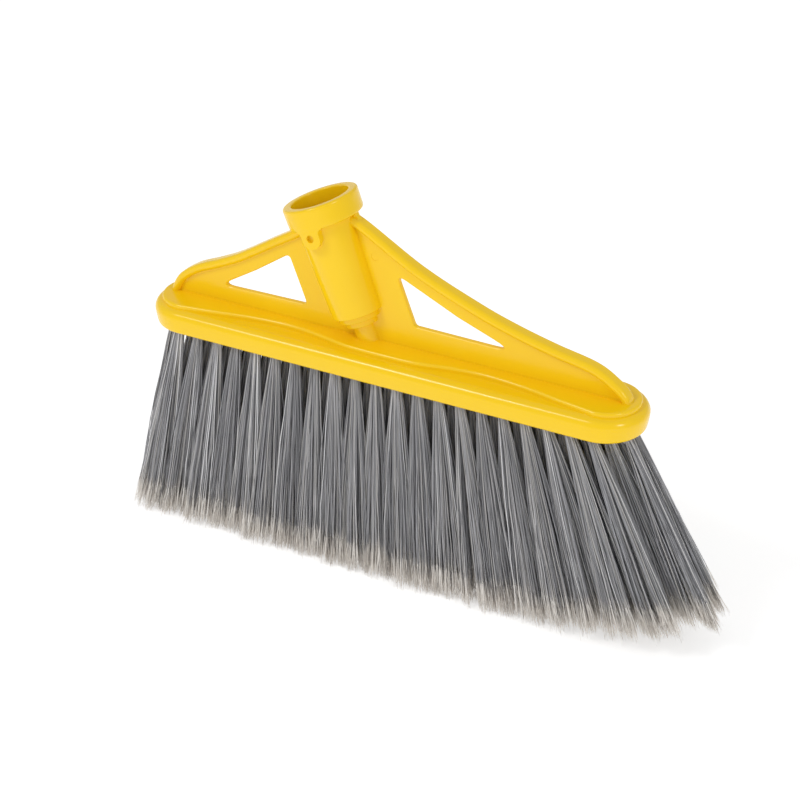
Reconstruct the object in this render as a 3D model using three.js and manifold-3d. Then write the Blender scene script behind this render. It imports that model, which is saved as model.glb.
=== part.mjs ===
// A push-on broom head: one moulded plastic head, its tufts of bristle, and the wire anchors that hold them.
// Millimetres, +Z up. The tips of the bristle stand on z = 0, +X runs along the block, and the handle's
// socket leans towards -X in the plane y = 0.
import * as THREE from "three";
import { mergeVertices } from "three/addons/utils/BufferGeometryUtils.js";
import Module from "manifold-3d";

const wasm = await Module();
wasm.setup();

// ---- Driving dimensions ----

// Block
const BLOCK_HEIGHT = 104; // from the bristle tips to the underside of the block
const BLOCK_HALF_LENGTH = 127;
const BLOCK_HALF_WIDTH = 20.3;
const SKIRT_HEIGHT = 11.6;
const PLATFORM_INSET = 3.6; // from the skirt's ends to the platform's
const PLATFORM_SIDE_INSET = 4.3;
const PLATFORM_HEIGHT = 2.2; // above the skirt
const PLATFORM_EDGE = 1.2; // rounding of its upper edge

// Brush
const STATIONS = 23; // places for tufts along the block
const END_MARGIN = 8.75; // from the block's ends to the outermost tufts
const ROW_SHIFTS = [-1.35, 1.35, -1.35, 1.35]; // of each row along the block, from front to back
const SIDE_MARGIN = 7.1; // from the block's sides to the outer rows
const OUTER_SPLAY = 3.5; // degrees that the outer rows lean outwards
const TIP_TRIM = 1.5; // cut from the longest bristle so that the tips stand level
const END_TRIM = 6; // by which the bristle is shorter at the +X end
const TUFT_RADIUS = 2.3; // of a bundle where it leaves the block
const HOLE_CLEARANCE = 0.4; // between the bundle and its hole, all round
const HOLE_DEPTH = 8.5;
const STEM_DEPTH = 28; // below the block, where the bundles of one station have spread into one another
const TIP_SPREAD = 4; // half the width that one bundle reaches at its tip, across the block
const TUFT_GAP = 0.3; // kept on each side between neighbouring stations

// Wire anchor
const ANCHOR_INSET = 0.2; // from the sides of the bundle to the anchor's ends
const ANCHOR_THICKNESS = 0.45;
const ANCHOR_HEIGHT = 1.8;
const ANCHOR_CLEARANCE = 0.3;
const FOLD = 0.7; // bristle that passes over the anchor
const ANCHORED_ROW = 1; // the row whose anchors are modelled

// Fin and rim
const FIN_THICKNESS = 3;
const RIM_WIDTH = 7.6;
const RIM_THICKNESS = 4.2;
const RIM_FOOT_INSET = 5; // from the platform's ends to the middle of the rim's feet
const FIN_INSET = 5.9; // from the platform's ends to the fin's
const WINDOW_CORNER = 1.6;
const WINDOW_FROM_AXIS = 28.8; // from the socket's axis to each window's upright side, along X
const SUNK = 1; // by which a piece reaches into the one that it stands on

// Socket
const SOCKET_X = -12.1; // where its axis meets the platform
const SOCKET_LEAN = 21.1; // degrees from upright, towards -X
const SOCKET_LENGTH = 69.9; // from the platform to the rim, along the axis
const TUBE_BOTTOM = 13.3;
const BORE_RADIUS = 13.8; // at the mouth
const BORE_TAPER = 2.2; // by which the radius shrinks down to the floor
const BORE_FLOOR = 15.8;
const MOUTH_CHAMFER = 0.5;
const TUBE_WALL = 1.5; // at the bore's floor
const TUBE_FLARE = 1.65; // by which the tube is wider under the collar than at its lower end
const COLLAR_HEIGHT = 10.4;
const COLLAR_WALL = 4.2; // at the mouth
const COLLAR_ROUND = 1.1;
const COLLAR_CHAMFER = 1.3; // of its lower edge
const COLLAR_DRAFT = 0.2; // by which it is wider at the top
const STEP_HEIGHT = 3; // of each of the two rings under the tube
const STEP_RADII = [8.8, 11];
const POST_RADIUS = 5.8;

// Tab under the collar, with the recess in which the screw that locks the handle is started
const TAB_HALF_WIDTH = 4.7;
const TAB_LENGTH = 8.6; // from the collar to the lowest point of the tab
const TAB_FILLET = 2;
const TAB_SETBACK = 0.3; // from the collar's wall to the tab's face
const SCREW_RADIUS = 1.85;
const SCREW_DEPTH = 1.6; // of the recess that the screw starts in
const SCREW_LIFT = 0.5; // of the screw above the middle of the tab's round end

// ---- Helpers ----

const rad = THREE.MathUtils.degToRad;

function solid(geometry) {
  const bare = geometry.clone();
  bare.deleteAttribute("normal");
  bare.deleteAttribute("uv");
  const merged = mergeVertices(bare, 1e-4);
  return new wasm.Manifold(
    new wasm.Mesh({
      numProp: 3,
      vertProperties: new Float32Array(merged.attributes.position.array),
      triVerts: new Uint32Array(merged.index.array),
    }),
  );
}

function geometryOf(manifold) {
  const mesh = manifold.getMesh();
  const geometry = new THREE.BufferGeometry();
  geometry.setAttribute("position", new THREE.BufferAttribute(mesh.vertProperties, 3));
  geometry.setIndex(new THREE.BufferAttribute(mesh.triVerts, 1));
  geometry.computeVertexNormals();
  return geometry;
}

function join(solids) {
  return solids.reduce((sum, next) => sum.add(next));
}

// Moves every corner of a geometry to where `place` puts it.
function reshape(geometry, place) {
  const position = geometry.getAttribute("position");
  const corner = new THREE.Vector3();
  for (let i = 0; i < position.count; i += 1) {
    corner.fromBufferAttribute(position, i);
    place(corner);
    position.setXYZ(i, corner.x, corner.y, corner.z);
  }
  return geometry;
}

// An outline, counter-clockwise, raised through a profile of [inset, height] pairs from the lowest up.
function raisedOutline(points, profile) {
  const corners = points.map((point, i) => {
    const before = points.at(i - 1);
    const after = points[(i + 1) % points.length];
    const inward = new THREE.Vector2(before.y - after.y, after.x - before.x).normalize();
    return { point, inward };
  });
  const nearest = (x, y) =>
    corners.reduce((best, next) => {
      const isNearer = Math.hypot(next.point.x - x, next.point.y - y) <
        Math.hypot(best.point.x - x, best.point.y - y);
      return isNearer ? next : best;
    });
  const rows = profile.length - 1;
  const settings = { depth: rows, steps: rows, bevelEnabled: false };
  const geometry = new THREE.ExtrudeGeometry(new THREE.Shape(points), settings);
  return reshape(geometry, (vertex) => {
    const [inset, height] = profile[Math.round(vertex.z)];
    const { point, inward } = nearest(vertex.x, vertex.y);
    vertex.set(point.x + inward.x * inset, point.y + inward.y * inset, height);
  });
}

// The four-fold copy of one quarter of an outline, whose points run from x = 0 to y = 0.
function mirroredOutline(quarter) {
  const right = [...quarter].reverse();
  const upper = [...right, ...quarter.slice(1).map((p) => new THREE.Vector2(-p.x, p.y))];
  const lower = upper.slice(1, -1).reverse().map((p) => new THREE.Vector2(p.x, -p.y));
  return [...upper, ...lower];
}

function endArc(halfLength, radius, divisions) {
  const arc = new THREE.EllipseCurve(halfLength - radius, 0, radius, radius, Math.PI / 2, 0, true);
  return arc.getPoints(divisions);
}

// ---- Frame of the socket: its axis, and the direction across it in the plane of the fin ----

const lean = rad(SOCKET_LEAN);
const tubeRadius = BORE_RADIUS - BORE_TAPER + TUBE_WALL;
const tubeTopRadius = tubeRadius + TUBE_FLARE;
const collarRadius = BORE_RADIUS + COLLAR_WALL;
const platformTop = SKIRT_HEIGHT + PLATFORM_HEIGHT;
const deck = BLOCK_HEIGHT + platformTop;
const collarBottom = SOCKET_LENGTH - COLLAR_HEIGHT;
const socketFrame = new THREE.Matrix4()
  .makeBasis(
    new THREE.Vector3(Math.cos(lean), 0, Math.sin(lean)),
    new THREE.Vector3(-Math.sin(lean), 0, Math.cos(lean)),
    new THREE.Vector3(0, -1, 0),
  )
  .setPosition(SOCKET_X, 0, deck);

// A point given across the socket's axis and along it, as a point of the plane y = 0.
function onFin(across, along) {
  const point = new THREE.Vector3(across, along, 0).applyMatrix4(socketFrame);
  return new THREE.Vector2(point.x, point.z);
}

// A geometry of the socket, drawn with its axis along Y and the front along Z, as a placed solid.
function inSocket(geometry) {
  return solid(geometry.applyMatrix4(socketFrame));
}

// A turned solid of the socket, from a profile of [radius, distance along the axis].
function turned(profile) {
  const points = profile.map(([radius, along]) => new THREE.Vector2(radius, along));
  return inSocket(new THREE.LatheGeometry(points, 32));
}

// ---- Tufts: where each one stands and how it leans ----

const halfSpan = BLOCK_HALF_LENGTH - END_MARGIN;
const tuftPitch = (2 * halfSpan) / (STATIONS - 1);
const outerRow = BLOCK_HALF_WIDTH - SIDE_MARGIN;
const rowPitch = (2 * outerRow) / (ROW_SHIFTS.length - 1);

// The lean along X, in degrees: nearly upright in the middle, wide at the +X end.
function fanAngle(x) {
  const u = x / halfSpan;
  return 2 + 14.2 * u + 6 * u * u + 5.3 * u * u * u;
}

function stationX(i) {
  return i * tuftPitch - halfSpan;
}

// The length of a bristle from the block to its tip: the same all along, but for a rise at the +X end.
function freeLength(x) {
  const u = Math.max(0, x / halfSpan);
  return BLOCK_HEIGHT + TIP_TRIM - END_TRIM * u ** 4;
}

// The tufts of one station; the outer rows stop short of the block's round ends.
function tuftsAt(i) {
  const isEnd = i === 0 || i === STATIONS - 1;
  const tufts = ROW_SHIFTS.map((shift, row) => {
    const y = row * rowPitch - outerRow;
    return {
      row,
      x: stationX(i) + shift,
      y,
      slopeX: Math.tan(rad(fanAngle(stationX(i)))),
      slopeY: Math.tan(rad((OUTER_SPLAY * y) / outerRow)),
    };
  });
  return isEnd ? tufts.slice(1, -1) : tufts;
}

// Turns and moves a geometry from its own axis, Y up through the block, into a tuft's line.
function alongTuft(geometry, tuft) {
  const up = new THREE.Vector3(-tuft.slopeX, -tuft.slopeY, 1).normalize();
  const turn = new THREE.Quaternion().setFromUnitVectors(new THREE.Vector3(0, 1, 0), up);
  return geometry.applyQuaternion(turn).translate(tuft.x, tuft.y, BLOCK_HEIGHT);
}

function tuftRod(tuft, radius, bottom, top) {
  const rod = new THREE.CylinderGeometry(radius, radius, top - bottom, 8);
  return solid(alongTuft(rod.translate(0, (top + bottom) / 2, 0), tuft));
}

// ---- The moulded head ----

function block() {
  const skirtProfile = [
    [1.8, 0],
    [1.1, 0.7],
    [0.7, 2],
    [0, SKIRT_HEIGHT - 4.6],
    [0.5, SKIRT_HEIGHT - 2.4],
    [1.7, SKIRT_HEIGHT - 0.9],
    [3.6, SKIRT_HEIGHT - 0.2],
    [4.6, SKIRT_HEIGHT],
  ];
  const skirtQuarter = [
    new THREE.Vector2(0, BLOCK_HALF_WIDTH),
    ...endArc(BLOCK_HALF_LENGTH, BLOCK_HALF_WIDTH, 10),
  ];
  const skirt = raisedOutline(mirroredOutline(skirtQuarter), skirtProfile);

  // Two waists between a bulge under the socket and one at each end, as shares of the block's half length
  // and of its half width.
  const endRadius = BLOCK_HALF_WIDTH - PLATFORM_SIDE_INSET;
  const waves = [
    [0, 0.66],
    [0.142, 0.635],
    [0.283, 0.473],
    [0.409, 0.404],
    [0.551, 0.473],
    [0.709, 0.65],
  ];
  const wave = new THREE.SplineCurve([
    ...waves.map(([x, y]) => new THREE.Vector2(x * BLOCK_HALF_LENGTH, y * BLOCK_HALF_WIDTH)),
    new THREE.Vector2(platformHalfLength - endRadius, endRadius),
  ]);
  const platformQuarter = [
    ...wave.getPoints(12),
    ...endArc(platformHalfLength, endRadius, 8).slice(1),
  ];
  const platformProfile = [
    [0, SKIRT_HEIGHT - SUNK],
    [0, platformTop - PLATFORM_EDGE],
    [0.3 * PLATFORM_EDGE, platformTop - 0.3 * PLATFORM_EDGE],
    [PLATFORM_EDGE, platformTop],
  ];
  const platform = raisedOutline(mirroredOutline(platformQuarter), platformProfile);
  return join([skirt, platform].map((tier) => solid(tier.translate(0, 0, BLOCK_HEIGHT))));
}

// A point of the fin, given as a share of the block's half length and of the socket's height above the deck.
const platformHalfLength = BLOCK_HALF_LENGTH - PLATFORM_INSET;
const socketHeight = SOCKET_LENGTH * Math.cos(lean);

function finPoint(along, up) {
  return new THREE.Vector2(along * BLOCK_HALF_LENGTH, deck + up * socketHeight);
}

// The middle of the rim, from its foot on the platform up to the socket's axis.
function rimCurve(side, middle) {
  const foot = side * (platformHalfLength - RIM_FOOT_INSET);
  const line = [
    new THREE.Vector2(foot, deck - 3.3),
    new THREE.Vector2(foot - side * 1.8, deck + 1.7),
    ...middle.map(([along, up]) => finPoint(side * along, up)),
    onFin(side * tubeTopRadius, collarBottom - 3.6),
    onFin(side * 5, collarBottom),
  ];
  return new THREE.CatmullRomCurve3(line.map((p) => new THREE.Vector3(p.x, 0, p.y)));
}

const leftRim = rimCurve(-1, [
  [0.887, 0.123],
  [0.819, 0.218],
  [0.724, 0.301],
  [0.63, 0.393],
  [0.488, 0.564],
]);
const rightRim = rimCurve(1, [
  [0.879, 0.098],
  [0.795, 0.187],
  [0.638, 0.252],
  [0.488, 0.325],
  [0.339, 0.42],
  [0.11, 0.604],
]);

function rim(curve) {
  const half = RIM_THICKNESS / 2;
  const reach = RIM_WIDTH / 2 - half;
  const section = new THREE.Shape();
  section.absarc(reach, 0, half, -Math.PI / 2, Math.PI / 2);
  section.absarc(-reach, 0, half, Math.PI / 2, 1.5 * Math.PI);
  const settings = { steps: 30, curveSegments: 5, bevelEnabled: false, extrudePath: curve };
  return solid(new THREE.ExtrudeGeometry(section, settings));
}

// A window with round corners, through three or more corner points.
function windowPath(corners) {
  const path = new THREE.Path();
  corners.forEach((corner, i) => {
    const toBefore = corners.at(i - 1).clone().sub(corner).normalize();
    const toAfter = corners[(i + 1) % corners.length].clone().sub(corner).normalize();
    const half = Math.acos(toBefore.dot(toAfter)) / 2;
    const cut = WINDOW_CORNER / Math.tan(half);
    const start = corner.clone().addScaledVector(toBefore, cut);
    const end = corner.clone().addScaledVector(toAfter, cut);
    if (i === 0) path.moveTo(start.x, start.y);
    else path.lineTo(start.x, start.y);
    path.quadraticCurveTo(corner.x, corner.y, end.x, end.y);
  });
  return path.closePath();
}

function fin() {
  const flat = (p) => new THREE.Vector2(p.x, p.z);
  const base = platformHalfLength - FIN_INSET;
  const shoulder = tubeTopRadius + 1.8;
  const outline = [
    new THREE.Vector2(-base, deck - SUNK),
    ...leftRim.getPoints(22).slice(2, -3).map(flat),
    onFin(-shoulder, collarBottom + SUNK),
    onFin(shoulder, collarBottom + SUNK),
    ...rightRim.getPoints(26).slice(2, -3).reverse().map(flat),
    new THREE.Vector2(base, deck - SUNK),
  ];
  const plate = new THREE.Shape(outline);
  const besideSocket = (side, up) => {
    const onAxis = SOCKET_X - up * socketHeight * Math.tan(lean);
    return new THREE.Vector2(onAxis + side * WINDOW_FROM_AXIS, deck + up * socketHeight);
  };
  plate.holes.push(
    windowPath([
      finPoint(-0.724, 0.123),
      besideSocket(-1, 0.135),
      besideSocket(-1, 0.503),
      finPoint(-0.567, 0.31),
    ]),
    windowPath([
      besideSocket(1, 0.172),
      finPoint(0.496, 0.163),
      finPoint(0.268, 0.328),
      besideSocket(1, 0.546),
    ]),
  );
  const settings = { depth: FIN_THICKNESS, curveSegments: 4, bevelEnabled: false };
  const geometry = new THREE.ExtrudeGeometry(plate, settings);
  return solid(geometry.rotateX(Math.PI / 2).translate(0, FIN_THICKNESS / 2, 0));
}

function socket() {
  const [innerStep, outerStep] = STEP_RADII;
  const outside = turned([
    [0, -POST_RADIUS / 2],
    [POST_RADIUS, -POST_RADIUS / 2],
    [POST_RADIUS, TUBE_BOTTOM - 2 * STEP_HEIGHT],
    [innerStep, TUBE_BOTTOM - 2 * STEP_HEIGHT],
    [innerStep, TUBE_BOTTOM - STEP_HEIGHT],
    [outerStep, TUBE_BOTTOM - STEP_HEIGHT],
    [outerStep, TUBE_BOTTOM],
    [tubeRadius, TUBE_BOTTOM],
    [tubeTopRadius, collarBottom],
    [collarRadius - COLLAR_DRAFT - COLLAR_CHAMFER, collarBottom],
    [collarRadius - COLLAR_DRAFT, collarBottom + COLLAR_CHAMFER],
    [collarRadius, SOCKET_LENGTH - COLLAR_ROUND],
    [collarRadius - 0.3 * COLLAR_ROUND, SOCKET_LENGTH - 0.3 * COLLAR_ROUND],
    [collarRadius - COLLAR_ROUND, SOCKET_LENGTH],
    [0, SOCKET_LENGTH],
  ]);
  return outside.add(tab());
}

// The tab hangs from the collar on the front of the tube, flush with the collar's wall.
function tab() {
  const lowest = collarBottom - TAB_LENGTH;
  const outer = TAB_HALF_WIDTH + TAB_FILLET;
  const top = collarBottom + 2 * SUNK;
  const face = new THREE.Shape();
  face.moveTo(outer, top);
  face.lineTo(-outer, top);
  face.lineTo(-outer, collarBottom);
  face.quadraticCurveTo(-TAB_HALF_WIDTH, collarBottom, -TAB_HALF_WIDTH, collarBottom - TAB_FILLET);
  face.absarc(0, lowest + TAB_HALF_WIDTH, TAB_HALF_WIDTH, Math.PI, 2 * Math.PI);
  face.lineTo(TAB_HALF_WIDTH, collarBottom - TAB_FILLET);
  face.quadraticCurveTo(TAB_HALF_WIDTH, collarBottom, outer, collarBottom);
  const settings = { depth: collarRadius, curveSegments: 8, bevelEnabled: false };
  const slab = new THREE.ExtrudeGeometry(face, settings).translate(0, 0, 0.75 * tubeRadius);
  const wall = turned([
    [0, lowest - SUNK],
    [collarRadius - TAB_SETBACK, lowest - SUNK],
    [collarRadius - TAB_SETBACK, top + SUNK],
    [0, top + SUNK],
  ]);
  return inSocket(slab).intersect(wall);
}

function screwRecess() {
  const along = collarBottom - TAB_LENGTH + TAB_HALF_WIDTH + SCREW_LIFT;
  const floor = collarRadius - TAB_SETBACK - SCREW_DEPTH;
  const recess = new THREE.CylinderGeometry(SCREW_RADIUS, SCREW_RADIUS, collarRadius, 16);
  return inSocket(recess.rotateX(Math.PI / 2).translate(0, along, floor + collarRadius / 2));
}

// The bore tapers, so that a handle's tapered end wedges in it.
function bore() {
  return turned([
    [0, BORE_FLOOR],
    [BORE_RADIUS - BORE_TAPER, BORE_FLOOR],
    [BORE_RADIUS, SOCKET_LENGTH - MOUTH_CHAMFER],
    [BORE_RADIUS + 2 * MOUTH_CHAMFER, SOCKET_LENGTH + MOUTH_CHAMFER],
    [0, SOCKET_LENGTH + MOUTH_CHAMFER],
  ]);
}

function head() {
  const holeRadius = TUFT_RADIUS + HOLE_CLEARANCE;
  const holes = stations.flat().map((tuft) => tuftRod(tuft, holeRadius, -HOLE_DEPTH / 2, HOLE_DEPTH));
  return join([block(), fin(), rim(leftRim), rim(rightRim), socket()])
    .subtract(bore())
    .subtract(screwRecess())
    .subtract(join(holes));
}

// ---- Tufts ----

const stations = Array.from({ length: STATIONS }, (_, i) => tuftsAt(i));

// The spread part of a station, between its two neighbours, as a block that widens to the tips.
function spreadPart(i) {
  const outerTuft = stations[i].at(-1);
  const border = (side) => {
    const x = stationX(i) + (side * tuftPitch) / 2;
    return { side, x, angle: rad(fanAngle(x)) };
  };
  const borderPoint = ({ side, x, angle }, length) =>
    new THREE.Vector3(x + length * Math.sin(angle) - side * TUFT_GAP, 0, -length * Math.cos(angle));
  const [low, high] = [border(-1), border(1)];
  const halfDepth = (depth, reach) => outerTuft.y + depth * outerTuft.slopeY + reach;
  const [flatX, flatY] = [0.7, 0.9];
  const section = new THREE.Shape();
  section.moveTo(-flatX, -1).lineTo(flatX, -1).lineTo(1, -flatY).lineTo(1, flatY);
  section.lineTo(flatX, 1).lineTo(-flatX, 1).lineTo(-1, flatY).lineTo(-1, -flatY);
  const slab = new THREE.ExtrudeGeometry(section, { depth: 1, steps: 1, bevelEnabled: false });
  return reshape(slab, (corner) => {
    const isTip = corner.z < 0.5;
    const share = (corner.x + 1) / 2;
    const across = isTip
      ? halfDepth(freeLength(stationX(i)), TIP_SPREAD) * corner.y
      : halfDepth(STEM_DEPTH, TUFT_RADIUS) * corner.y;
    const at = (side) =>
      borderPoint(side, isTip ? freeLength(side.x) : STEM_DEPTH / Math.cos(side.angle));
    corner.lerpVectors(at(low), at(high), share);
    corner.y = across;
    corner.z += BLOCK_HEIGHT;
  });
}

// The gap that the wire anchor takes in a bundle folded over it.
function anchorBox(tuft, clearance) {
  const width = 2 * (TUFT_RADIUS - ANCHOR_INSET);
  const box = new THREE.BoxGeometry(
    width + 2 * clearance,
    ANCHOR_HEIGHT + 2 * clearance,
    ANCHOR_THICKNESS + 2 * clearance,
  );
  const top = HOLE_DEPTH - ANCHOR_CLEARANCE - FOLD - ANCHOR_CLEARANCE;
  return alongTuft(box.translate(0, top - ANCHOR_HEIGHT / 2, 0), tuft);
}

function tuftStation(i) {
  const stemEnd = -STEM_DEPTH - 2 * TUFT_RADIUS;
  const stems = stations[i].map((tuft) =>
    tuftRod(tuft, TUFT_RADIUS, stemEnd, HOLE_DEPTH - ANCHOR_CLEARANCE),
  );
  const floorSide = 8 * BLOCK_HALF_LENGTH;
  const floor = new THREE.BoxGeometry(floorSide, floorSide, BLOCK_HEIGHT).translate(0, 0, -BLOCK_HEIGHT / 2);
  const whole = join([solid(spreadPart(i)), ...stems]).subtract(solid(floor));
  const slots = stations[i]
    .filter((tuft) => tuft.row === ANCHORED_ROW)
    .map((tuft) => solid(anchorBox(tuft, ANCHOR_CLEARANCE)));
  return slots.reduce((cut, slot) => cut.subtract(slot), whole);
}

// ---- The assembly ----

const plastic = { color: 0xf6cc1c, roughness: 0.3, metalness: 0 };
const bristle = { color: 0x87888a, roughness: 0.6, metalness: 0 };
const wire = { color: 0xb9bcc0, roughness: 0.35, metalness: 1 };

const broomHead = new THREE.Group();

function place(name, geometry, finish) {
  const mesh = new THREE.Mesh(geometry, new THREE.MeshStandardMaterial(finish));
  mesh.name = name;
  broomHead.add(mesh);
}

place("head", geometryOf(head()), plastic);
stations.forEach((tufts, i) => {
  const number = String(i + 1).padStart(2, "0");
  place(`tufts_${number}`, geometryOf(tuftStation(i)), bristle);
  const anchored = tufts.find((tuft) => tuft.row === ANCHORED_ROW);
  place(`anchor_${number}`, anchorBox(anchored, 0), wire);
});

export default broomHead;
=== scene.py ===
"""A push-on broom head: a yellow moulded block with a handle socket on a windowed fin, over fanned tufts of
grey bristle whose tips are split and brushed to a pale beige. Metres, in the frame of the CAD part."""

import math

import bmesh
import bpy
import numpy as np
from mathutils import Matrix, Vector


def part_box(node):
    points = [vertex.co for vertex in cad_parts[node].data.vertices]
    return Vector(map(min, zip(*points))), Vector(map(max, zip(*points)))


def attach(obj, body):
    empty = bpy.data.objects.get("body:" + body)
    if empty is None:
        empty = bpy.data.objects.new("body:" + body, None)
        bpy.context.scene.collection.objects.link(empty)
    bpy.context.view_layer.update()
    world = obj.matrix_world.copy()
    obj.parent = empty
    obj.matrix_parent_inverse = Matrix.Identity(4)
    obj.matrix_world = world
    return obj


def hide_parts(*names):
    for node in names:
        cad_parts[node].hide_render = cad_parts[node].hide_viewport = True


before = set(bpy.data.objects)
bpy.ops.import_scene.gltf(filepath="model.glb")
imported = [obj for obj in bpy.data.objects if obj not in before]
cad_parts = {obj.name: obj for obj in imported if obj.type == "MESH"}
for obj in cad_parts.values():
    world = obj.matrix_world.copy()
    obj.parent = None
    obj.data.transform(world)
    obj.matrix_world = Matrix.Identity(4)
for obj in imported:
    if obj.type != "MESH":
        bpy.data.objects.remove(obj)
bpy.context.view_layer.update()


# ---- Camera ----
# A long lens looks down on the front of the head from its right, a little above the socket.

camera = bpy.data.objects.new("camera", bpy.data.cameras.new("camera"))
camera.data.lens = 94.5
camera.data.sensor_width = 36
camera.location = (0.40208, -0.75184, 0.58135)
camera.rotation_euler = (math.radians(90 - 30.132), 0, math.radians(27.892))
bpy.context.scene.collection.objects.link(camera)
bpy.context.scene.camera = camera


# ---- Block ----
# The long block that holds the bristle, moulded in foamed polypropylene in one shot with everything above it.
# Its skirt has a full rounded shoulder, and a low platform with a wavy edge stands on the skirt.

MM = 0.001
head_low, head_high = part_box("head")
underside = head_low.z
half_length = head_high.x
half_width = head_high.y
skirt_height = 11.6 * MM
platform_top = skirt_height + 2.2 * MM
platform_half_length = half_length - 3.6 * MM
platform_end_radius = half_width - 4.3 * MM
platform_edge = 1.2 * MM
sunk = 1 * MM


def smooth_through(points, divisions):
    """Points on a smooth curve through the ones given, with more of them in between."""
    points = [Vector(point) for point in points]
    padded = [points[0], *points, points[-1]]
    result = []
    for before, start, end, after in zip(padded, padded[1:], padded[2:], padded[3:]):
        for step in range(divisions):
            t = step / divisions
            tangent_in = (end - before) / 2
            tangent_out = (after - start) / 2
            blend = 2 * t**3 - 3 * t**2
            bend_in = t**3 - 2 * t**2 + t
            bend_out = t**3 - t**2
            result.append(start * (1 + blend) - end * blend + tangent_in * bend_in + tangent_out * bend_out)
    return [*result, points[-1]]


def raise_outline(outline, steps):
    """A closed body drawn up from a flat outline through steps of (inset, height)."""
    shape = bmesh.new()
    inward = []
    for i, here in enumerate(outline):
        along = outline[(i + 1) % len(outline)] - outline[i - 1]
        inward.append(Vector((-along.y, along.x, 0)).normalized())
    face = shape.faces.new([shape.verts.new(point) for point in outline])
    for level, (inset, height) in enumerate(steps):
        if level:
            face = bmesh.ops.extrude_discrete_faces(shape, faces=[face])["faces"][0]
        for vert, start, side in zip(face.verts, outline, inward):
            vert.co = start + side * inset + Vector((0, 0, height))
    bmesh.ops.holes_fill(shape, edges=shape.edges, sides=0)
    bmesh.ops.recalc_face_normals(shape, faces=shape.faces)
    return shape


def round_end(half_length, radius, divisions):
    """A quarter turn of the block's end, from the straight side to the tip."""
    turns = [math.pi / 2 * (1 - i / divisions) for i in range(divisions + 1)]
    centre = half_length - radius
    return [Vector((centre + radius * math.cos(turn), radius * math.sin(turn), 0)) for turn in turns]


def four_fold(quarter):
    """The whole outline, counter-clockwise, of which one quarter runs from x = 0 to y = 0."""
    flip_x, flip_y = Matrix.Diagonal((-1, 1, 1)), Matrix.Diagonal((1, -1, 1))
    upper = [*reversed(quarter), *(flip_x @ point for point in quarter[1:])]
    return [*upper, *(flip_y @ point for point in reversed(upper[1:-1]))]


def object_from(name, shape):
    """An object at the origin from a bmesh."""
    mesh = bpy.data.meshes.new(name)
    shape.to_mesh(mesh)
    shape.free()
    made = bpy.data.objects.new(name, mesh)
    bpy.context.scene.collection.objects.link(made)
    return made


skirt_quarter = [Vector((0, half_width, 0)), *round_end(half_length, half_width, 24)]
skirt_profile = smooth_through(
    [(1.8, 0), (1.1, 0.7), (0.7, 2), (0, 7), (0.5, 9.2), (1.7, 10.7), (3.6, 11.4), (4.6, 11.6)], 4
)
skirt = raise_outline(four_fold(skirt_quarter), [point * MM for point in skirt_profile])
bmesh.ops.translate(skirt, verts=skirt.verts, vec=(0, 0, underside))
skirt = object_from("skirt", skirt)

# The platform's edge swells under the socket and at both ends, with a waist on each side between them.
wave = [(0, 13.4), (18, 12.9), (36, 9.6), (52, 8.2), (70, 9.6), (90, 13.2)]
straight_end = platform_half_length - platform_end_radius
wave = [(x * MM, y * MM, 0) for x, y in wave] + [(straight_end, platform_end_radius, 0)]
platform_quarter = smooth_through(wave, 8)
platform_quarter += round_end(platform_half_length, platform_end_radius, 20)[1:]
edge_turns = [math.pi / 2 * i / 6 for i in range(7)]
platform_profile = [
    (platform_edge * (1 - math.cos(turn)), platform_top - platform_edge * (1 - math.sin(turn)))
    for turn in edge_turns
]
platform = raise_outline(four_fold(platform_quarter), [(0, skirt_height - sunk), *platform_profile])
bmesh.ops.translate(platform, verts=platform.verts, vec=(0, 0, underside))
platform = object_from("platform", platform)


# ---- Fin and rims ----
# The upright web that ties the block to the socket, 3 mm thick with two windows whose edges are rounded off,
# and the rounded rim that runs along its top from each end of the block to the socket.

fin_thickness = 3 * MM
fin_rounding = 0.8 * MM
rim_width = 7.6 * MM
rim_thickness = 4.2 * MM
window_corner = 2 * MM
window_from_axis = 28.8 * MM
fin_foot = 117.5 * MM
shoulder_room = 1.8 * MM
rim_landing = 3.6 * MM
rim_past_axis = 5 * MM
hidden_ends = slice(12, -12)
socket_x = -12.1 * MM
socket_lean = math.radians(21.1)
socket_length = 69.9 * MM
collar_height = 10.4 * MM
collar_bottom = socket_length - collar_height
tube_radius = 13.1 * MM
tube_top_radius = 14.75 * MM
deck = underside + platform_top
socket_frame = Matrix.Translation((socket_x, 0, deck)) @ Matrix.Rotation(-socket_lean, 4, "Y")


def on_fin(across, along):
    """A point of the fin's middle plane, given from the socket's foot across its axis and along it."""
    return socket_frame @ Vector((across, 0, along))


def above(x, height):
    """A point of the fin's middle plane in millimetres, its height measured from the block's underside."""
    return Vector((x * MM, 0, underside + height * MM))


def beside_socket(side, height):
    """A corner of a window, level with the socket's side."""
    on_axis = socket_x - (height * MM - platform_top) * math.tan(socket_lean)
    return Vector((on_axis + side * window_from_axis, 0, underside + height * MM))


def rim_line(side, middle):
    """The middle of a rim, from its foot on the platform up to the socket's axis."""
    foot = [above(side * 118.4, 10.5), above(side * 116.6, 15.5)]
    landing = on_fin(side * tube_top_radius, collar_bottom - rim_landing)
    top = [landing, on_fin(side * rim_past_axis, collar_bottom)]
    return smooth_through([*foot, *(above(x, height) for x, height in middle), *top], 10)


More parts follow.
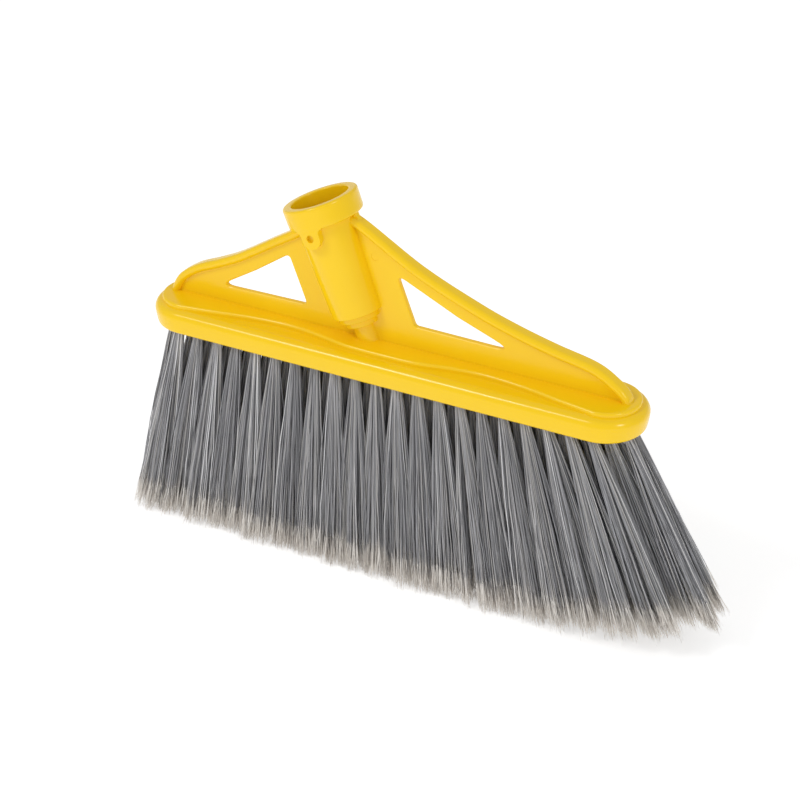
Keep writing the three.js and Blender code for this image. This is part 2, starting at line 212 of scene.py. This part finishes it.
def converted(curve_data, name):
    """The mesh of a curve as a bmesh, with its seams merged."""
    curve = bpy.data.objects.new(name, curve_data)
    bpy.context.scene.collection.objects.link(curve)
    depsgraph = bpy.context.evaluated_depsgraph_get()
    mesh = bpy.data.meshes.new_from_object(curve.evaluated_get(depsgraph))
    shape = bmesh.new()
    shape.from_mesh(mesh)
    bpy.data.objects.remove(curve)
    bpy.data.meshes.remove(mesh)
    bmesh.ops.remove_doubles(shape, verts=shape.verts, dist=0.001 * MM)
    bmesh.ops.recalc_face_normals(shape, faces=shape.faces)
    return shape


def add_outline(curve_data, points, closed=True):
    spline = curve_data.splines.new("POLY")
    spline.points.add(len(points) - 1)
    for knot, point in zip(spline.points, points):
        knot.co = (*point, 1)
    spline.use_cyclic_u = closed


def swept_rim(name, line):
    """A rim: a flat bar with round sides, drawn along its line."""
    half = rim_thickness / 2
    reach = rim_width / 2 - half
    section_data = bpy.data.curves.new("rim_section", "CURVE")
    section_data.dimensions = "2D"
    turns = [math.pi * (i / 12 - 0.5) for i in range(13)]
    right = [Vector((reach + half * math.cos(turn), half * math.sin(turn), 0)) for turn in turns]
    add_outline(section_data, [*right, *(-point for point in right)])
    section = bpy.data.objects.new("rim_section", section_data)
    bpy.context.scene.collection.objects.link(section)
    path = bpy.data.curves.new(name, "CURVE")
    path.dimensions = "3D"
    path.twist_mode = "Z_UP"
    path.bevel_mode = "OBJECT"
    path.bevel_object = section
    path.use_fill_caps = True
    add_outline(path, line, closed=False)
    rim = converted(path, name)
    bpy.data.objects.remove(section)
    return object_from(name, rim)


def round_window(corners):
    """A window's outline with its corners rounded."""
    outline = []
    for i, corner in enumerate(corners):
        to_before = (corners[i - 1] - corner).normalized()
        to_after = (corners[(i + 1) % len(corners)] - corner).normalized()
        cut = window_corner / math.tan(to_before.angle(to_after) / 2)
        start, end = corner + to_before * cut, corner + to_after * cut
        for step in range(7):
            t = step / 6
            outline.append(start * (1 - t) ** 2 + corner * 2 * t * (1 - t) + end * t**2)
    return outline


left_line = rim_line(-1, [(-112.6, 21.8), (-104, 28), (-92, 33.4), (-80, 39.4), (-62, 50.6)])
right_line = rim_line(1, [(111.6, 20.2), (101, 26), (81, 30.2), (62, 35), (43, 41.2), (14, 53.2)])
left_rim = swept_rim("left_rim", left_line)
right_rim = swept_rim("right_rim", right_line)

shoulder = tube_top_radius + shoulder_room
fin_outline = [
    Vector((-fin_foot, 0, deck - sunk)),
    *left_line[hidden_ends],
    on_fin(-shoulder, collar_bottom + sunk),
    on_fin(shoulder, collar_bottom + sunk),
    *reversed(right_line[hidden_ends]),
    Vector((fin_foot, 0, deck - sunk)),
]
left_window = [above(-92, 21.8), beside_socket(-1, 22.6), beside_socket(-1, 46.6), above(-72, 34)]
right_window = [beside_socket(1, 25), above(63, 24.4), above(34, 35.2), beside_socket(1, 49.4)]
plate = bpy.data.curves.new("fin", "CURVE")
plate.dimensions = "2D"
plate.fill_mode = "BOTH"
plate.extrude = fin_thickness / 2 - fin_rounding
plate.bevel_depth = fin_rounding
plate.bevel_resolution = 2
plate.offset = -fin_rounding
lay_flat = Matrix.Rotation(math.radians(-90), 3, "X")
for outline in (fin_outline, round_window(left_window), round_window(right_window)):
    add_outline(plate, [lay_flat @ point for point in outline])
fin = converted(plate, "fin")
bmesh.ops.rotate(fin, verts=fin.verts, matrix=Matrix.Rotation(math.radians(90), 3, "X"))
fin = object_from("fin", fin)


# ---- Socket ----
# The leaning tube that the handle is pushed into, on a post and two rings, with a thicker collar round its
# mouth. A tab hangs from the collar on the front, with the recess of the screw that locks the handle.

collar_radius = 18 * MM
collar_flare = 0.2 * MM
tube_bottom = 13.3 * MM
ring_height = 3 * MM
ring_radii = [8.8 * MM, 11 * MM]
post_radius = 5.8 * MM
post_sunk = 3 * MM
overlap = 2 * MM
bore_radius = 13.8 * MM
bore_tip_radius = 11.6 * MM
bore_floor = 15.8 * MM
mouth_rounding = 0.7 * MM
tab_half_width = 4.7 * MM
tab_length = 8.6 * MM
tab_fillet = 2 * MM
screw_radius = 1.85 * MM
screw_depth = 1.6 * MM
screw_lift = 0.5 * MM
tab_setback = 0.3 * MM
tab_from_axis = 10 * MM
tab_drawn = 10 * MM


def turned(name, profile, rounding=0.0, steps=96):
    """A body of revolution on the socket's axis, with its sharp rings rounded over."""
    shape = bmesh.new()
    verts = [shape.verts.new((radius, 0, along)) for radius, along in profile]
    edges = [shape.edges.new(pair) for pair in zip(verts, verts[1:])]
    bmesh.ops.spin(
        shape,
        geom=[*verts, *edges],
        axis=(0, 0, 1),
        cent=(0, 0, 0),
        angle=math.tau,
        steps=steps,
        use_merge=True,
    )
    bmesh.ops.remove_doubles(shape, verts=shape.verts, dist=0.001 * MM)
    bmesh.ops.recalc_face_normals(shape, faces=shape.faces)
    if rounding:
        sharp = [edge for edge in shape.edges if edge.calc_face_angle(0) > math.radians(30)]
        bmesh.ops.bevel(
            shape, geom=sharp, offset=rounding, segments=4, profile=0.5, affect="EDGES", material=-1
        )
    bmesh.ops.transform(shape, matrix=socket_frame, verts=shape.verts)
    return object_from(name, shape)


def even_rings(low, high, count):
    """Profile points from one to the other, evenly spaced and without the last."""
    return [tuple(np.array(low) + (np.array(high) - low) * i / count) for i in range(count)]


inner_ring, outer_ring = ring_radii
tube = turned(
    "tube",
    [
        (0, -post_sunk),
        (post_radius, -post_sunk),
        (post_radius, tube_bottom - 2 * ring_height),
        (inner_ring, tube_bottom - 2 * ring_height),
        (inner_ring, tube_bottom - ring_height),
        (outer_ring, tube_bottom - ring_height),
        (outer_ring, tube_bottom),
        *even_rings((tube_radius, tube_bottom), (tube_top_radius, collar_bottom + overlap), 14),
        (tube_top_radius, collar_bottom + overlap),
        (0, collar_bottom + overlap),
    ],
    rounding=0.5 * MM,
)
collar = turned(
    "collar",
    [
        (0, collar_bottom),
        *even_rings((collar_radius - collar_flare, collar_bottom), (collar_radius, socket_length), 4),
        (collar_radius, socket_length),
        (0, socket_length),
    ],
    rounding=1.1 * MM,
)


def cut(target, operation, other):
    """Joins another body to the target, or takes it away or keeps what they share, and removes it."""
    modifier = target.modifiers.new("cut", "BOOLEAN")
    modifier.operation = operation
    modifier.solver = "EXACT"
    modifier.object = other
    depsgraph = bpy.context.evaluated_depsgraph_get()
    mesh = bpy.data.meshes.new_from_object(target.evaluated_get(depsgraph))
    target.modifiers.clear()
    target.data = mesh
    bpy.data.objects.remove(other)


tab_bottom = collar_bottom - tab_length
half_turn = [math.pi * (1 + i / 20) for i in range(21)]
fillet_turns = [math.pi / 2 * i / 6 for i in range(7)]
right_fillet = [
    (
        tab_half_width + tab_fillet * (1 - math.sin(turn)),
        collar_bottom - tab_fillet * (1 - math.cos(turn)),
    )
    for turn in reversed(fillet_turns)
]
tab_outline = [
    *((-across, along) for across, along in reversed(right_fillet)),
    *(
        (tab_half_width * math.cos(turn), tab_bottom + tab_half_width * (1 + math.sin(turn)))
        for turn in half_turn
    ),
    *right_fillet,
    (tab_half_width + tab_fillet, collar_bottom + overlap),
    (-tab_half_width - tab_fillet, collar_bottom + overlap),
]
tab_shape = bmesh.new()
tab_face = tab_shape.faces.new([tab_shape.verts.new((x, -tab_from_axis, z)) for x, z in tab_outline])
drawn = bmesh.ops.extrude_face_region(tab_shape, geom=[tab_face])["geom"]
drawn_verts = [item for item in drawn if isinstance(item, bmesh.types.BMVert)]
bmesh.ops.translate(tab_shape, verts=drawn_verts, vec=(0, -tab_drawn, 0))
bmesh.ops.remove_doubles(tab_shape, verts=tab_shape.verts, dist=0.001 * MM)
bmesh.ops.recalc_face_normals(tab_shape, faces=tab_shape.faces)
bmesh.ops.transform(tab_shape, matrix=socket_frame, verts=tab_shape.verts)
tab = object_from("tab", tab_shape)
tab_wall = turned(
    "tab_wall",
    [
        (0, tab_bottom - overlap),
        (collar_radius - tab_setback, tab_bottom - overlap),
        (collar_radius - tab_setback, collar_bottom + 2 * overlap),
        (0, collar_bottom + 2 * overlap),
    ],
)
cut(tab, "INTERSECT", tab_wall)

mouth_turns = [math.pi / 2 * i / 4 for i in range(5)]
bore = turned(
    "bore",
    [
        (0, bore_floor),
        *even_rings((bore_tip_radius, bore_floor), (bore_radius, socket_length - mouth_rounding), 12),
        *(
            (
                bore_radius + mouth_rounding * (1 - math.cos(turn)),
                socket_length - mouth_rounding * (1 - math.sin(turn)),
            )
            for turn in mouth_turns
        ),
        (bore_radius + mouth_rounding, socket_length + overlap),
        (0, socket_length + overlap),
    ],
)

screw_shape = bmesh.new()
bmesh.ops.create_cone(
    screw_shape,
    cap_ends=True,
    segments=32,
    radius1=screw_radius,
    radius2=screw_radius,
    depth=2 * collar_radius,
)
recess_floor = collar_radius - tab_setback - screw_depth
screw_place = (
    socket_frame
    @ Matrix.Translation((0, -recess_floor - collar_radius, tab_bottom + tab_half_width + screw_lift))
    @ Matrix.Rotation(math.radians(90), 4, "X")
)
bmesh.ops.transform(screw_shape, matrix=screw_place, verts=screw_shape.verts)
screw_recess = object_from("screw_recess", screw_shape)

# Two ejector pins have left shallow round marks in the fin's front, to the right of the tube.
ejector_marks = [(19.2 * MM, 37.9 * MM, 2 * MM), (16.9 * MM, 58 * MM, 0.8 * MM)]
mark_depth = 0.2 * MM
marks_shape = bmesh.new()
for across, along, radius in ejector_marks:
    at_face = Matrix.Translation((across, -fin_thickness / 2, along))
    bmesh.ops.create_cone(
        marks_shape,
        cap_ends=True,
        segments=32,
        radius1=radius,
        radius2=radius,
        depth=2 * mark_depth,
        matrix=socket_frame @ at_face @ Matrix.Rotation(math.radians(90), 4, "X"),
    )
marks = object_from("ejector_marks", marks_shape)


# ---- Tuft holes ----
# Blind holes drilled into the underside in four staggered rows, each along the line of its tuft: nearly
# upright in the middle of the block, leaning out at its ends.

STATIONS = 23
end_margin = 8.75 * MM
side_margin = 7.1 * MM
half_span = half_length - end_margin
tuft_pitch = 2 * half_span / (STATIONS - 1)
outer_row = half_width - side_margin
row_y = [-outer_row, -outer_row / 3, outer_row / 3, outer_row]
row_shift = [-1.35 * MM, 1.35 * MM, -1.35 * MM, 1.35 * MM]
outer_splay = math.radians(3.5)
tuft_radius = 2.3 * MM
hole_radius = tuft_radius + 0.4 * MM
hole_depth = 8.5 * MM
hole_start = 4 * MM


def fan_angle(x):
    """How far a tuft leans along the block: it grows towards both ends, and most at the +X end."""
    u = x / half_span
    return math.radians(2 + 14.2 * u + 6 * u**2 + 5.3 * u**3)


def tuft_lines(station):
    """The tufts of one station, each as its mouth in the underside and its direction down to the tips."""
    x = station * tuft_pitch - half_span
    is_end = station in (0, STATIONS - 1)
    lines = []
    for y, shift in zip(row_y, row_shift):
        down = Vector((math.tan(fan_angle(x)), math.tan(outer_splay * y / outer_row), -1))
        lines.append((Vector((x + shift, y, underside)), down.normalized()))
    return lines[1:-1] if is_end else lines


stations = [tuft_lines(station) for station in range(STATIONS)]
holes_shape = bmesh.new()
for mouth, down in (line for lines in stations for line in lines):
    upright = Vector((0, 0, 1)).rotation_difference(-down).to_matrix().to_4x4()
    place = Matrix.Translation(mouth - down * (hole_depth - hole_start) / 2) @ upright
    bmesh.ops.create_cone(
        holes_shape,
        cap_ends=True,
        segments=24,
        radius1=hole_radius,
        radius2=hole_radius,
        depth=hole_depth + hole_start,
        matrix=place,
    )
holes = object_from("tuft_holes", holes_shape)


# ---- One moulding ----
# Everything above is one shot of plastic, so it is joined into one body, then the bore, the screw recess
# and the tuft holes are taken out of it. The plastic is a glossy yellow with faint flow marks.

head = skirt
head.name = head.data.name = "head_moulding"
for part in (platform, fin, left_rim, right_rim, tube, collar, tab):
    cut(head, "UNION", part)
for hollow in (bore, screw_recess, marks, holes):
    cut(head, "DIFFERENCE", hollow)

head_shape = bmesh.new()
head_shape.from_mesh(head.data)
bmesh.ops.remove_doubles(head_shape, verts=head_shape.verts, dist=0.002 * MM)
for face in head_shape.faces:
    face.smooth = True
for edge in head_shape.edges:
    edge.smooth = edge.calc_face_angle(0) < math.radians(28)
head_shape.to_mesh(head.data)
head_shape.free()
weighted = head.modifiers.new("weighted_normals", "WEIGHTED_NORMAL")
weighted.keep_sharp = True


class Shade:
    """A socket in a material's nodes. Arithmetic on it adds Math nodes."""

    def __init__(self, tree, socket=None):
        self.tree = tree
        self.socket = socket

    def node(self, kind, inputs=None, output=0, stops=None, **settings):
        """Adds a node with these settings and with values or links on its inputs, and wraps an output."""
        made = self.tree.nodes.new("ShaderNode" + kind)
        for name, value in settings.items():
            setattr(made, name, value)
        if stops:
            ramp = made.color_ramp.elements
            ramp[0].position, ramp[0].color = stops[0]
            ramp[1].position, ramp[1].color = stops[-1]
            for position, colour in stops[1:-1]:
                ramp.new(position).color = colour
        for name, value in (inputs or {}).items():
            if isinstance(value, Shade):
                self.tree.links.new(value.socket, made.inputs[name])
            else:
                made.inputs[name].default_value = value
        return Shade(self.tree, made.outputs[output])

    def math(self, operation, first, second):
        return self.node("Math", {0: first, 1: second}, operation=operation)

    def __add__(self, other):
        return self.math("ADD", self, other)

    def __sub__(self, other):
        return self.math("SUBTRACT", self, other)

    def __rsub__(self, other):
        return self.math("SUBTRACT", other, self)

    def __mul__(self, other):
        return self.math("MULTIPLY", self, other)

    __radd__ = __add__
    __rmul__ = __mul__

    def mix(self, low, high):
        """The colour that runs from low to high as this value runs from 0 to 1."""
        return self.node("Mix", {0: self, 6: low, 7: high}, output=2, data_type="RGBA")


def new_material(name):
    """A material's empty node tree, wrapped."""
    material = bpy.data.materials.new(name)
    material.use_nodes = True
    material.node_tree.nodes.clear()
    return material, Shade(material.node_tree)


def finish_material(shade, **inputs):
    """Ends a material in a Principled shader with these inputs."""
    named = {name.replace("_", " "): value for name, value in inputs.items()}
    surface = shade.node("BsdfPrincipled", named)
    output = shade.tree.nodes.new("ShaderNodeOutputMaterial")
    shade.tree.links.new(surface.socket, output.inputs["Surface"])


plastic, shade = new_material("moulded_yellow_plastic")
place = shade.node("TexCoord", output="Object")
flow = shade.node(
    "TexNoise", {"Vector": place, "Scale": 28.0, "Detail": 3.0, "Roughness": 0.55, "Distortion": 1.2}
)
peel = shade.node("TexNoise", {"Vector": place, "Scale": 620.0, "Detail": 2.0, "Roughness": 0.5})
grain = shade.node("TexNoise", {"Vector": place, "Scale": 2600.0, "Detail": 1.0})
yellow = flow.mix((0.91, 0.58, 0.004, 1), (0.94, 0.62, 0.006, 1))
surface_bump = shade.node(
    "Bump", {"Height": peel * 0.7 + grain * 0.3, "Strength": 0.03, "Distance": 0.0002}
)
finish_material(
    shade,
    Base_Color=yellow,
    Roughness=0.16 + 0.08 * flow,
    Normal=surface_bump,
    IOR=1.49,
    Specular_IOR_Level=0.4,
)
head.data.materials.clear()
head.data.materials.append(plastic)
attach(head, "root")
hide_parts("head")


# ---- Bristle ----
# Crimped polyester filament, cut to length, folded in half over a wire anchor and driven into its hole. Each
# tuft fans out towards its tip, where the ends are split into finer fibres and brushed to a pale beige.

free_length = 105.5 * MM
end_trim = 6 * MM
strands_per_tuft = 68
clumps_per_tuft = 16
strand_radius = 0.215 * MM
flags_per_leg = 3
flag_radius = 0.12 * MM
anchor_top = 7.2 * MM
fold_room = 0.8 * MM
leg_steps = 7
tip_reach_x = 9.4 * MM
tip_reach_y = 5.4 * MM
stray_share = 0.02
flare = 0.3
clumping = 0.45
end_narrowing = 0.45
least_height = 0.15 * MM

# The scatter of strands and clumps: standard deviations, as shares of a tuft's reach or in metres.
clump_scatter = 0.10
strand_scatter = 0.11
clump_unevenness = 1.2 * MM
tip_unevenness = 0.7 * MM
stray_shift, stray_scatter = 2 * MM, 4 * MM
bow_scatter = 1.7 * MM
crimp_scatter = 0.30 * MM
crimp_memory = 0.6
tone_scatter = 0.24

# The fibres that a strand's end is split into: where they begin, how far they spread and how they thin out.
flag_overlap = 0.12
flag_spread = 0.75 * MM
flag_bend = 0.35 * MM
flag_length_shift, flag_length_scatter = -0.6 * MM, 1.5 * MM
flag_taper = np.array([1.15, 1.0, 0.45])
flag_along = np.array([0.86, 0.93, 1.0])
flag_tone_scatter = 0.15
rng = np.random.default_rng(20)


def tip_centre(line):
    """Where the middle of a tuft ends."""
    mouth, down = line
    length = free_length - end_trim * max(0.0, mouth.x / half_span) ** 4
    tip = mouth + down * length
    return tip if tip.z > 0 else mouth + down * (underside / -down.z)


tip_line = np.array([np.mean([tip_centre(line) for line in lines], axis=0) for lines in stations])
stations_x = np.array([lines[0][0].x for lines in stations])
tip_gaps = np.diff(tip_line[:, 0])


def tip_height(x):
    """How high above the floor the ends are trimmed, from the line through the stations' tips."""
    return np.interp(x, tip_line[:, 0], tip_line[:, 2])


def round_offsets(count, radius):
    """Points spread evenly at random over a disc."""
    turn = rng.uniform(0, math.tau, count)
    reach = radius * np.sqrt(rng.uniform(0, 1, count))
    return np.stack([reach * np.cos(turn), reach * np.sin(turn)], axis=1)


def tuft_legs(line):
    """The free legs of a tuft's strands: an array of strands x 2 legs x points x 3, from block to split."""
    mouth, down = (np.array(part) for part in line)
    spacing = float(np.interp(mouth[0], stations_x[1:], tip_gaps)) / tip_gaps.min()
    clump_roots = round_offsets(clumps_per_tuft, 1.0)
    clump_shift = rng.normal(0, clump_scatter, (clumps_per_tuft, 2))
    clump_reach = rng.normal(0, clump_unevenness, clumps_per_tuft)
    legs = np.zeros((strands_per_tuft, 2, leg_steps + 1, 3))
    tips = np.zeros((strands_per_tuft, 2, 3))
    for side in range(2):
        spots = round_offsets(strands_per_tuft, 1.0)
        spots[:, 1] = np.abs(spots[:, 1]) * (1 if side else -1)
        nearest = np.argmin(np.linalg.norm(spots[:, None] - clump_roots[None], axis=2), axis=1)
        gathered = spots * (1 - clumping) + clump_roots[nearest] * clumping + clump_shift[nearest]
        gathered += rng.normal(0, strand_scatter, gathered.shape)
        root = spots * (tuft_radius - strand_radius)
        end = gathered * (tip_reach_x * spacing, tip_reach_y)
        outermost = abs(mouth[0]) > half_span - tuft_pitch / 2
        is_outward = np.sign(end[:, 0]) == np.sign(mouth[0])
        end[outermost & is_outward, 0] *= end_narrowing
        strays = rng.uniform(0, 1, strands_per_tuft) < stray_share
        end[strays, 0] += rng.normal(stray_shift, stray_scatter, strays.sum())
        tip_x = mouth[0] + down[0] / -down[2] * (underside - tip_height(mouth[0])) + end[:, 0]
        tip_z = tip_height(tip_x)
        fall = (underside - tip_z) / -down[2]
        tip_middle = mouth + down * fall[:, None]
        tip = tip_middle.copy()
        tip[:, :2] += end
        unevenness = np.abs(rng.normal(0, tip_unevenness, strands_per_tuft))
        tip[:, 2] += unevenness + np.maximum(0, clump_reach[nearest])
        wobble = np.zeros((strands_per_tuft, 2))
        bow = rng.normal(0, bow_scatter, (strands_per_tuft, 2))
        for step in range(leg_steps + 1):
            share = step / leg_steps
            middle = mouth + (tip_middle - mouth) * share
            outward = np.c_[root, np.zeros(strands_per_tuft)] * (1 - share)
            outward += (tip - tip_middle) * share * (1 + flare * (1 - share))
            legs[:, side, step] = middle + outward
            legs[:, side, step, :2] += bow * share * (1 - share) + wobble
            crimp = rng.normal(0, crimp_scatter, wobble.shape) * min(1, 2 * share + 0.1)
            wobble = wobble * crimp_memory + crimp
        tips[:, side] = tip
    return legs, tips


def add_fibre(curve_data, points, radii):
    """One thin rod along these points."""
    spline = curve_data.splines.new("POLY")
    spline.points.add(len(points) - 1)
    spline.points.foreach_set("co", np.c_[points, np.ones(len(points))].ravel())
    spline.points.foreach_set("radius", radii)


def tuft_station(station):
    """All the strands of a station's tufts as one mesh with each strand's shade and place along it."""
    data = bpy.data.curves.new("fibres", "CURVE")
    data.dimensions = "3D"
    data.bevel_depth = 1.0
    data.bevel_resolution = 0
    tones, lengths = [], []

    def add(points, radii, tone, along):
        add_fibre(data, points, radii)
        tones.extend(np.repeat(tone, 4 * len(points)))
        lengths.extend(np.repeat(along, 4))

    for line in stations[station]:
        mouth, down = (np.array(part) for part in line)
        legs, tips = tuft_legs(line)
        for pair, ends in zip(legs, tips):
            fold = mouth - down * (anchor_top + strand_radius + rng.uniform(0, fold_room))
            fold[0] += (pair[0, 0, 0] + pair[1, 0, 0]) / 2 - mouth[0]
            inner = [leg[0] - down * (anchor_top - 1 * MM) for leg in pair]
            tone = rng.normal(0.5, tone_scatter)
            points = np.array([*pair[0][:leg_steps][::-1], inner[0], fold, inner[1], *pair[1][:leg_steps]])
            share = np.arange(leg_steps) / leg_steps
            along = np.array([*share[::-1], 0, 0, 0, *share])
            add(points, np.full(len(points), strand_radius), tone, along)
            for leg, end in zip(pair, ends):
                knot, before = leg[leg_steps - 1], leg[leg_steps - 2]
                for _ in range(flags_per_leg):
                    spread = rng.normal(0, flag_spread, 3)
                    middle = knot + (end - knot) * 0.5 + spread * 0.5 + rng.normal(0, flag_bend, 3)
                    far = end + spread + down * rng.normal(flag_length_shift, flag_length_scatter)
                    far[2] = max(far[2], least_height)
                    middle[2] = max(middle[2], least_height)
                    beginning = before * flag_overlap + knot * (1 - flag_overlap)
                    fibre = np.array([beginning, middle, far])
                    flag_tone = tone + rng.normal(0, flag_tone_scatter)
                    add(fibre, flag_taper * flag_radius, flag_tone, flag_along)
    fibres = bpy.data.objects.new("fibres", data)
    bpy.context.scene.collection.objects.link(fibres)
    depsgraph = bpy.context.evaluated_depsgraph_get()
    mesh = bpy.data.meshes.new_from_object(fibres.evaluated_get(depsgraph))
    bpy.data.objects.remove(fibres)
    for name, values in (("tone", tones), ("along", lengths)):
        attribute = mesh.attributes.new(name, "FLOAT", "POINT")
        attribute.data.foreach_set("value", np.array(values, np.float32))
    shape = bmesh.new()
    shape.from_mesh(mesh)
    bmesh.ops.holes_fill(shape, edges=shape.edges, sides=4)
    bmesh.ops.recalc_face_normals(shape, faces=shape.faces)
    for face in shape.faces:
        face.smooth = True
    shape.to_mesh(mesh)
    shape.free()
    return mesh


filament, shade = new_material("bristle_filament")
tone = shade.node("Attribute", attribute_name="tone", output="Fac")
along = shade.node("Attribute", attribute_name="along", output="Fac")
place = shade.node("TexCoord", output="Object")
blotch = shade.node("TexNoise", {"Vector": place, "Scale": 90.0, "Detail": 2.0})
frayed = along + 0.10 * (tone - 0.5) + 0.10 * (blotch - 0.5)
tip_mask = shade.node("MapRange", {"Value": frayed, "From Min": 0.82, "From Max": 0.91})
grey = shade.node(
    "ValToRGB",
    {"Fac": tone},
    stops=[
        (0.0, (0.14, 0.14, 0.15, 1)),
        (0.35, (0.30, 0.30, 0.315, 1)),
        (0.6, (0.41, 0.41, 0.43, 1)),
        (0.8, (0.48, 0.465, 0.45, 1)),
        (1.0, (0.80, 0.80, 0.81, 1)),
    ],
)
beige = shade.node(
    "ValToRGB",
    {"Fac": tone},
    stops=[(0.0, (0.36, 0.31, 0.27, 1)), (0.4, (0.74, 0.69, 0.63, 1)), (1.0, (0.95, 0.92, 0.88, 1))],
)
finish_material(shade, Base_Color=tip_mask.mix(grey, beige), Roughness=0.42, IOR=1.5)

for station in range(STATIONS):
    number = f"{station + 1:02d}"
    mesh = tuft_station(station)
    mesh.name = f"bristle_{number}"
    mesh.materials.append(filament)
    bristle = bpy.data.objects.new(f"bristle_{number}", mesh)
    bpy.context.scene.collection.objects.link(bristle)
    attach(bristle, "root")
    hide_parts(f"tufts_{number}")


# ---- Wire anchors ----
# Short lengths of flat steel wire, one in each tuft's fold. The CAD part has those of one row; the rest are
# made here, and all of them have the same bright drawn-wire finish.

anchor_width = 4.2 * MM
anchor_thickness = 0.45 * MM
anchor_height = 1.8 * MM
anchor_edge = 0.1 * MM

wire, shade = new_material("drawn_steel_wire")
place = shade.node("TexCoord", output="Object")
stretched = shade.node("Mapping", {"Vector": place, "Scale": (150.0, 4000.0, 4000.0)})
drawn_lines = shade.node("TexNoise", {"Vector": stretched, "Scale": 1.0, "Detail": 2.0})
finish_material(
    shade,
    Base_Color=drawn_lines.mix((0.42, 0.43, 0.45, 1), (0.62, 0.63, 0.65, 1)),
    Metallic=1.0,
    Roughness=0.28 + 0.2 * drawn_lines,
)

anchors_shape = bmesh.new()
for lines in stations:
    for mouth, down in lines:
        if abs(mouth.y - row_y[1]) < MM:
            continue
        upright = Vector((0, 0, 1)).rotation_difference(-down).to_matrix().to_4x4()
        middle = mouth - down * (anchor_top - anchor_height / 2)
        size = Matrix.Diagonal((anchor_width, anchor_thickness, anchor_height, 1))
        cut_wire = bmesh.ops.create_cube(
            anchors_shape, size=1.0, matrix=Matrix.Translation(middle) @ upright @ size
        )
        edges = list({edge for vert in cut_wire["verts"] for edge in vert.link_edges})
        bmesh.ops.bevel(
            anchors_shape,
            geom=edges,
            offset=anchor_edge,
            segments=1,
            profile=0.5,
            affect="EDGES",
            material=-1,
        )
anchors = object_from("wire_anchors", anchors_shape)
anchors.data.materials.append(wire)
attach(anchors, "root")

for name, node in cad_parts.items():
    if name.startswith("anchor_"):
        node.data.materials.clear()
        node.data.materials.append(wire)


# ---- Floor and light ----
# A plain white sweep under a large soft light from the upper left, with white all round for the fill.

floor_shape = bmesh.new()
bmesh.ops.create_grid(floor_shape, x_segments=1, y_segments=1, size=12)
floor = object_from("floor", floor_shape)
paper, shade = new_material("white_paper")
finish_material(
    shade,
    Base_Color=(0.75, 0.75, 0.75, 1),
    Roughness=0.9,
    Emission_Color=(1, 1, 1, 1),
    Emission_Strength=0.5,
)
floor.data.materials.append(paper)

world = bpy.data.worlds.new("studio")
bpy.context.scene.world = world
world.use_nodes = True
world.node_tree.nodes["Background"].inputs["Color"].default_value = (1, 1, 1, 1)
world.node_tree.nodes["Background"].inputs["Strength"].default_value = 0.6
bpy.context.scene.view_settings.view_transform = "Standard"


def soft_light(name, place, target, width, height, power):
    """A rectangular soft box aimed at a point."""
    box = bpy.data.lights.new(name, "AREA")
    box.shape = "RECTANGLE"
    box.size, box.size_y, box.energy = width, height, power
    light = bpy.data.objects.new(name, box)
    light.location = place
    light.rotation_euler = (Vector(target) - Vector(place)).to_track_quat("-Z", "Y").to_euler()
    bpy.context.scene.collection.objects.link(light)


middle = (0, 0, 0.1)
soft_light("key", (-0.85, -1.2, 1.6), middle, 0.5, 0.5, 11)
soft_light("fill", (1.5, -0.65, 1.0), middle, 0.35, 0.45, 5)
